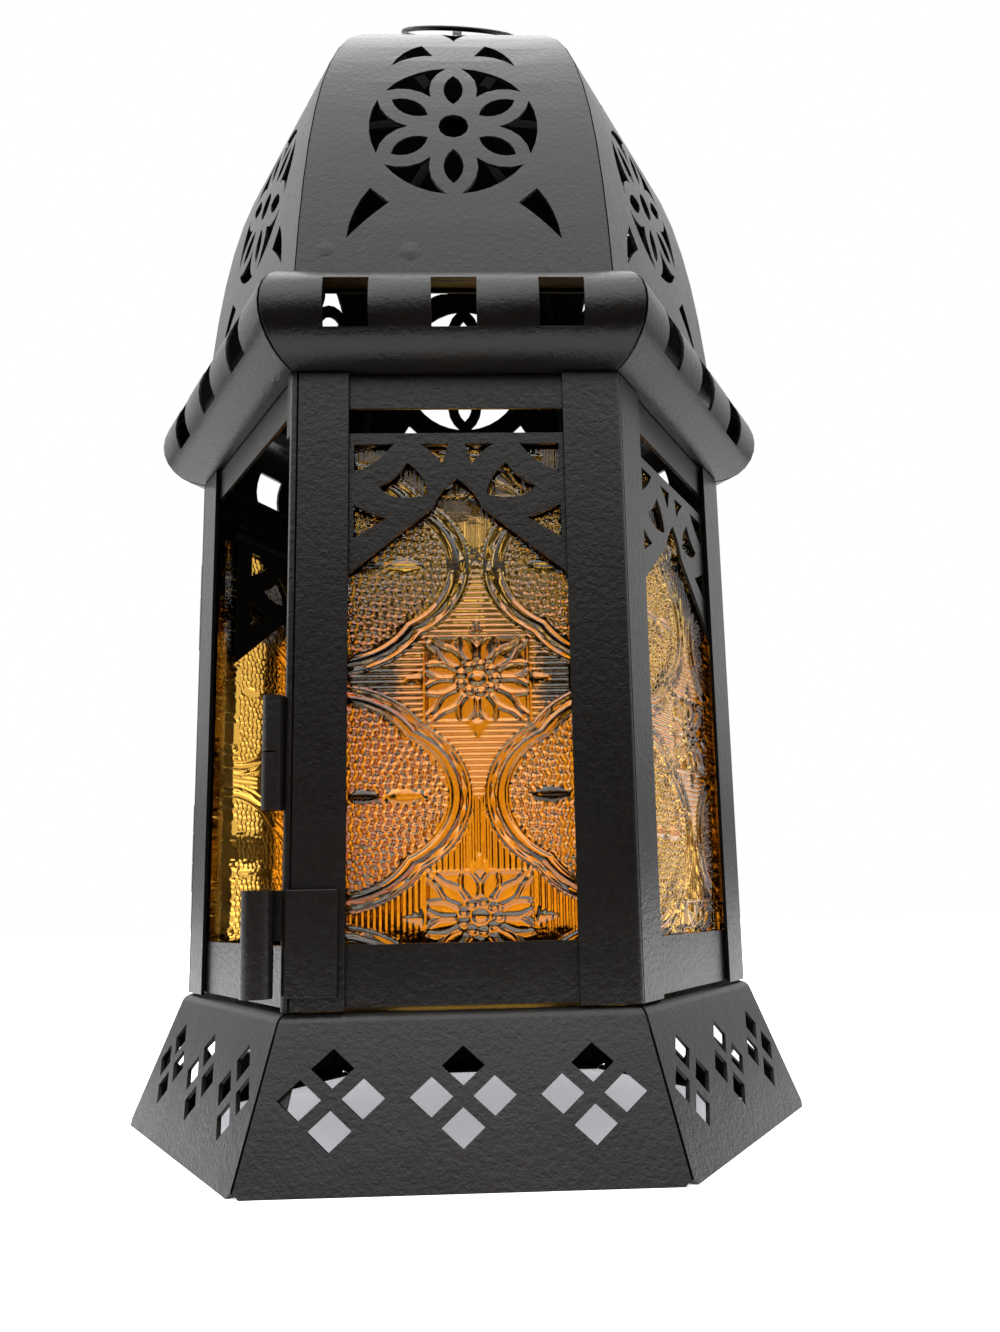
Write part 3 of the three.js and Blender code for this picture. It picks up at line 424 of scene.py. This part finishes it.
def relief(x, z, x0, z0):
    """Height of the pressed pattern over a pane, from the place of one flower on it."""
    u = (x - x0) / STRETCH
    v = z - z0
    p = np.mod(u, PERIOD) - HALF
    q = np.mod(v, PERIOD) - HALF
    height, d = medallion(p, q, x, z)
    fu = np.mod(u + HALF, PERIOD) - HALF
    fv = np.mod(v + HALF, PERIOD) - HALF
    level = np.mod(np.floor((v + HALF) / PERIOD), 2)
    across = np.where(level == 0, z, x)
    ribs = 0.15 + 0.55 * np.abs(np.sin(np.pi * across / RIB_PITCH))
    inside = np.maximum(np.abs(fu), np.abs(fv)) < SQUARE
    ground = np.maximum(np.where(inside, 0.05, ribs), flower(fu, fv))
    height = np.where(d >= BORDER_TO, ground, height)
    for a, b in ((p + HALF, q), (p - HALF, q), (p, q + HALF), (p, q - HALF)):
        tip = np.clip(1 - (np.abs(a) / TIP_LONG + np.abs(b) / TIP_SHORT), 0, 1)
        height = np.maximum(height, tip)
    return height


def soften(h):
    """Rounds the pressed edges as poured glass does."""
    pad = np.pad(h, 1, mode="edge")
    return (4 * h + pad[:-2, 1:-1] + pad[2:, 1:-1] + pad[1:-1, :-2] + pad[1:-1, 2:]) / 8


def lines(low, high, inner_low, inner_high):
    """Grid lines from low to high: fine ones inside, and one in each margin."""
    count = max(2, int(round((inner_high - inner_low) / GRID)))
    fine = np.linspace(inner_low, inner_high, count + 1)
    return np.concatenate([[low, (low + inner_low) / 2], fine, [(high + inner_high) / 2, high]])


def outline(nx, nz):
    """The places round the edge of a grid, counter-clockwise."""
    ring = [(0, i) for i in range(nx)] + [(j, nx - 1) for j in range(1, nz)]
    ring += [(nz - 1, i) for i in range(nx - 2, -1, -1)] + [(j, 0) for j in range(nz - 2, 0, -1)]
    return [j * nx + i for j, i in ring]


# The fine grid stops short of a pane's edges, where metal covers the glass
SIDE_MARGIN, FOOT_MARGIN, TOP_MARGIN, FLAT_EDGE = 0.3, 0.6, 0.5, 0.2


def pane(name, node, face, half, bottom, top, front, back, window, sill, flower_at):
    """A closed pane with the relief pressed into its outer side, in place of a CAD pane."""
    seen = min(half - SIDE_MARGIN, window)
    xs = lines(-half, half, -seen, seen)
    zs = lines(bottom, top, max(bottom + FOOT_MARGIN, sill), top - TOP_MARGIN)
    gx, gz = np.meshgrid(xs, zs)
    height = soften(relief(gx, gz, *flower_at))
    edge = np.minimum.reduce([gx + half, half - gx, gz - bottom, top - gz])
    height = np.where(edge < FLAT_EDGE, 1.0, height)
    depth = RELIEF * (1 - height)
    nx, nz = len(xs), len(zs)
    outer = np.stack([gx, -(front - depth), gz], -1).reshape(-1, 3)
    rim = outline(nx, nz)
    inner = outer[rim].copy()
    inner[:, 1] = -back
    points = np.concatenate([outer, inner])
    index = np.arange(nx * nz).reshape(nz, nx)
    corners = [index[:-1, :-1], index[:-1, 1:], index[1:, 1:], index[1:, :-1]]
    quads = np.stack(corners, -1).reshape(-1, 4)
    count = len(rim)
    first = nx * nz
    walls = []
    for k in range(count):
        n = (k + 1) % count
        walls.append((rim[n], rim[k], first + k, first + n))
    faces = [tuple(int(i) for i in q) for q in quads] + walls
    faces.append(tuple(first + k for k in range(count - 1, -1, -1)))
    mesh = bpy.data.meshes.new(name)
    mesh.from_pydata((points * MM).tolist(), [], faces)
    mesh.transform(face)
    mesh.polygons.foreach_set("use_smooth", [True] * len(quads) + [False] * (len(walls) + 1))
    mesh.materials.append(GLASS)
    mesh.update()
    obj = add_object(name, mesh)
    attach(obj, "door" if node == "door_glass" else "lantern")
    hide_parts(node)


FACES = ("front", "right_front", "right_back", "back", "left_back")
FLOWERS = ((3.4, 90.3), (9.0, 84.0), (-7.0, 97.0), (14.0, 88.0), (-4.0, 79.0))
lo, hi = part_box("glass_front")
for step, (face, flower_at) in enumerate(zip(FACES, FLOWERS)):
    pane(f"pressed_glass_{face}", f"glass_{face}", turned(step), half=hi.x / MM,
         bottom=lo.z / MM, top=hi.z / MM, front=-lo.y / MM, back=-hi.y / MM,
         window=22.0, sill=39.5, flower_at=flower_at)

# The door's pane is drawn closed on its face, then folded back as the CAD door is
HINGE = Vector((-39.4491, -53.3757, 0)) * MM
OPENED = math.radians(-240)
swing = Matrix.Rotation(OPENED, 4, "Z")
fold = turned(5) @ Matrix.Translation(HINGE) @ swing @ Matrix.Translation(-HINGE)
pane("pressed_glass_door", "door_glass", fold, half=19.9, bottom=43.0, top=142.4,
     front=55.19, back=53.19, window=19.0, sill=44.0, flower_at=(-2.0, 86.0))


# Dark strips that keep daylight out of the dome's joints, in millimetres

# The dome's outer profile is one curve from its foot to its crown, drawn by four points
FOOT, BOTTOM, TOP = 56.29, 173.9, 257.4
PROFILE = ((FOOT, BOTTOM), (0.93 * FOOT, BOTTOM + 60.1), (0.765 * FOOT, BOTTOM + 82.9), (12.0, TOP))
SHEET = 0.8
STRIP_GAP, STRIP_THICK, STRIP_WIDTH = 0.08, 0.4, 1.6
STRIP_FROM, STRIP_TO, STRIP_STEPS = 0.01, 0.99, 39
BAND_OUTER, BAND_INNER, BAND_BOTTOM, BAND_TOP = 52.8, 52.4, 172.2, 176.0


def profile_point(t):
    """The profile at t, as distance from the axis and height, and its inward normal."""
    a, b, c, d = (np.array(q) for q in PROFILE)
    s = 1 - t
    place = s ** 3 * a + 3 * s ** 2 * t * b + 3 * s * t * t * c + t ** 3 * d
    run = 3 * (s ** 2 * (b - a) + 2 * s * t * (c - b) + t * t * (d - c))
    run = run / np.linalg.norm(run)
    return place, np.array((-abs(run[1]), -abs(run[0])))


def closed_piece(name, points, faces):
    """A closed dark piece inside the dome, from points in millimetres."""
    mesh = bpy.data.meshes.new(name)
    mesh.from_pydata([tuple(c * MM for c in q) for q in points], [], faces)
    mesh.materials.append(INNER)
    obj = add_object(name, mesh)
    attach(obj, "lantern")
    return mesh


def foot_band():
    """A six-sided band behind the joint between the dome and the cornice."""
    section = ((BAND_OUTER, BAND_BOTTOM), (BAND_OUTER, BAND_TOP),
               (BAND_INNER, BAND_TOP), (BAND_INNER, BAND_BOTTOM))
    points = []
    for apothem, z in section:
        radius = apothem / math.cos(math.radians(30))
        for corner in range(SIDES):
            angle = math.radians(60 * corner)
            points.append((radius * math.cos(angle), radius * math.sin(angle), z))
    faces = []
    for j in range(len(section)):
        a, b = SIDES * j, SIDES * ((j + 1) % len(section))
        for k in range(SIDES):
            n = (k + 1) % SIDES
            faces.append((a + k, a + n, b + n, b + k))
    closed_piece("foot_band", points, faces)


def seam_strip(corner):
    """A closed folded strip along one corner of the dome, just behind its gores."""
    lean = math.tan(math.radians(30))
    cos, sin = math.cos(math.radians(60)), math.sin(math.radians(60))
    near = SHEET + STRIP_GAP
    points = []
    for t in np.linspace(STRIP_FROM, STRIP_TO, STRIP_STEPS + 1):
        place, inward = profile_point(t)
        for depth in (near, near + STRIP_THICK):
            a, z = place + inward * depth
            side = a * lean - STRIP_WIDTH
            points.append((side, -a, z))
            points.append((a * lean, -a, z))
            points.append((cos * -side + sin * a, sin * -side - cos * a, z))
    faces = []
    loop = (0, 1, 2, 5, 4, 3)
    ring = len(loop)
    for i in range(STRIP_STEPS):
        k, n = ring * i, ring * (i + 1)
        for a, b in zip(loop, loop[1:] + loop[:1]):
            faces.append((k + a, k + b, n + b, n + a))
    last = ring * STRIP_STEPS
    faces.append((0, 3, 4, 5, 2, 1))
    faces.append(tuple(last + a for a in loop))
    closed_piece(f"seam_strip_{corner}", points, faces).transform(turned(corner))


foot_band()
for corner in range(SIDES):
    seam_strip(corner)


# Stage

TABLE_NEAR, TABLE_FAR = -0.22, 3.0

# The room's light by direction: x to the right, y away from the camera and z up, each from -1 to 1
FRONT_LIGHT, TOP_LIGHT, SIDE_SHARE = 0.015, 3.9, 0.35
WALL_END, CEILING = 0.18, 0.76
FRONT_FROM, FRONT_TO = -0.45, 0.15
SIDE_FROM, SIDE_TO = 0.25, 0.45
LOW_END, HIGH_START = 0.08, 0.18


def floor():
    """A pale table that ends just in front of the lantern."""
    near, far = TABLE_NEAR, TABLE_FAR
    corners = [(-far, near, 0), (far, near, 0), (far, far, 0), (-far, far, 0)]
    mesh = bpy.data.meshes.new("floor")
    mesh.from_pydata(corners, [], [(0, 1, 2, 3)])
    mesh.materials.append(PALE)
    obj = add_object("floor", mesh)


def studio():
    """A white room, bright behind and overhead, less low at the sides, and dim in front."""
    world = bpy.data.worlds.new("studio")
    bpy.context.scene.world = world
    world.use_nodes = True
    g = Graph(world.node_tree, "Generated")
    x, y, z = g.axes()

    def smooth(value, low, high, a, b):
        return g.ramp(value, low, high, a, b, "SMOOTHSTEP")

    front = smooth(y, FRONT_FROM, FRONT_TO, 1.0, 0.0)
    climb = smooth(z, WALL_END, CEILING, FRONT_LIGHT, TOP_LIGHT)
    sideways = smooth(g.math("MULTIPLY", x, x), SIDE_FROM, SIDE_TO, 0.0, 1.0)
    sideways = g.math("MULTIPLY", sideways, smooth(z, LOW_END, HIGH_START, 1.0, 0.0))
    dimming = smooth(sideways, 0.0, 1.0, 1.0, SIDE_SHARE)
    light = g.math("MULTIPLY", g.blend(front, 1.0, climb), dimming)
    seen = g.add("ShaderNodeLightPath").outputs["Is Camera Ray"]
    sky = g.add("ShaderNodeBackground")
    g.put(sky.inputs[0], (1.0, 1.0, 1.0, 1.0))
    g.put(sky.inputs[1], g.blend(seen, light, 1.0))
    g.link(sky.outputs[0], g.add("ShaderNodeOutputWorld").inputs[0])


def area_light(name, place, aim, size, power):
    data = bpy.data.lights.new(name, "AREA")
    data.shape = "RECTANGLE"
    data.size, data.size_y = size
    data.energy = power
    obj = add_object(name, data)
    obj.location = place
    obj.rotation_mode = "QUATERNION"
    obj.rotation_quaternion = (Vector(aim) - Vector(place)).to_track_quat("-Z", "Y")


floor()
studio()
bpy.context.scene.view_settings.view_transform = "Standard"
area_light("key", place=(-1.2, 0.15, 0.8), aim=(0, 0, 0.18), size=(0.6, 0.9), power=5.0)
area_light("top", place=(0.0, 0.2, 1.3), aim=(0, 0, 0.2), size=(0.9, 0.9), power=6.0)


# Camera: focal length in pixels of the frame, with the frame's middle off the lens axis

WIDTH, HEIGHT = 1000, 1332
FOCAL, MIDDLE = 1035.94, (520.2, 731.0)
SENSOR = 36.0
PITCH, ROLL, YAW = math.radians(9.624), math.radians(-1.230), math.radians(1.968)
EYE = Vector((4.758, -249.054, 46.73)) * MM

reach = math.cos(PITCH)
ahead = Vector((math.sin(YAW) * reach, math.cos(YAW) * reach, math.sin(PITCH)))
level = Vector((math.cos(YAW), -math.sin(YAW), 0))
above = level.cross(ahead)
right = math.cos(ROLL) * level + math.sin(ROLL) * above
up = -math.sin(ROLL) * level + math.cos(ROLL) * above

lens = bpy.data.cameras.new("camera")
lens.sensor_fit = "AUTO"
lens.sensor_width = SENSOR
lens.lens = FOCAL / HEIGHT * SENSOR
lens.shift_x = (WIDTH / 2 - MIDDLE[0]) / HEIGHT
lens.shift_y = (MIDDLE[1] - HEIGHT / 2) / HEIGHT
lens.clip_start = 0.01
lens.clip_end = 50
camera = add_object("camera", lens)
camera.matrix_world = Matrix((
    (right.x, up.x, -ahead.x, EYE.x),
    (right.y, up.y, -ahead.y, EYE.y),
    (right.z, up.z, -ahead.z, EYE.z),
    (0, 0, 0, 1),
))
bpy.context.scene.camera = camera
